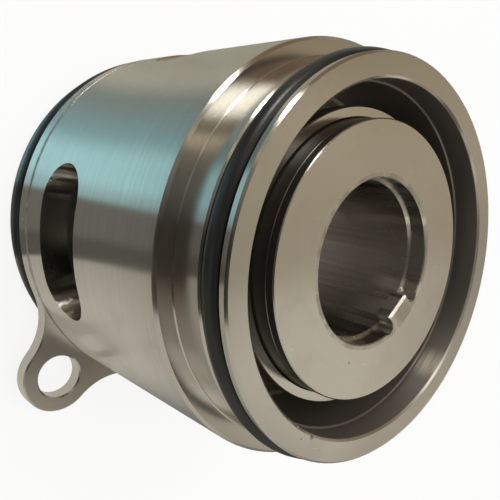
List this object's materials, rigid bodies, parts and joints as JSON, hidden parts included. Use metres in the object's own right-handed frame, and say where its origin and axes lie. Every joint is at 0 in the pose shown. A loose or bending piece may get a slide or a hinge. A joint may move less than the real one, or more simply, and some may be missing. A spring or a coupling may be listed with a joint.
{
  "type": "cartridge mechanical seal",
  "caption": "Double cartridge shaft seal: slotted steel barrel with a fixing ear, rubber sealing rings and a keyed sleeve that turns in sprung face rings.",
  "frame": {"origin": "on the shaft axis, in the rear face of the plate that carries the ear", "axes": "+Z along the shaft axis towards the sleeve's head, +X through the middle of the ear"},
  "size_m": [0.1137, 0.095, 0.0895],
  "materials": {
    "turned_steel": "fine turned stainless steel",
    "screw_steel": "plain stainless fasteners and dowels",
    "spring_steel": "drawn spring wire",
    "rubber": "smooth black rubber",
    "carbide": "lapped dark carbide"
  },
  "bodies": {
    "barrel": {"housing": "turned_steel", "partition": "turned_steel", "flange_ring": "turned_steel", "rear_cover": "turned_steel", "cover_screws": "screw_steel", "cover_o_ring": "rubber", "front_o_ring": "rubber", "rear_o_ring": "rubber", "front_seat": "carbide", "front_seat_o_ring": "rubber", "front_seat_pin": "screw_steel", "rear_seat": "carbide", "rear_seat_o_ring": "rubber", "rear_seat_pin": "screw_steel"},
    "rotor": {"shaft_sleeve": "turned_steel", "sleeve_o_ring": "rubber", "head_o_ring": "rubber", "front_drive_pins": "screw_steel", "wave_spring": "spring_steel", "coil_spring": "spring_steel", "rear_drive_pins": "screw_steel", "drive_collar": "turned_steel", "set_screws": "screw_steel", "retaining_ring": "spring_steel"},
    "front_ring": {"front_carrier": "turned_steel", "front_face_ring": "carbide"},
    "rear_ring": {"rear_carrier": "turned_steel", "rear_carrier_o_ring": "rubber", "rear_face_ring": "carbide"}
  },
  "joints": [
    {"name": "sleeve_spin", "type": "hinge", "parent": "barrel", "child": "rotor", "pos_m": [0, 0, 0], "axis": [0, 0, 1], "continuous": true},
    {"name": "front_ring_slide", "type": "slide", "parent": "rotor", "child": "front_ring", "axis": [0, 0, 1], "range_m": [0, 0.0015], "stiffness_N_per_m": 5000, "springref_m": -0.002, "deforming": ["wave_spring"]},
    {"name": "rear_ring_slide", "type": "slide", "parent": "rotor", "child": "rear_ring", "axis": [0, 0, 1], "range_m": [0, 0.0015], "stiffness_N_per_m": 5000, "springref_m": -0.002, "deforming": ["coil_spring"]}
  ]
}
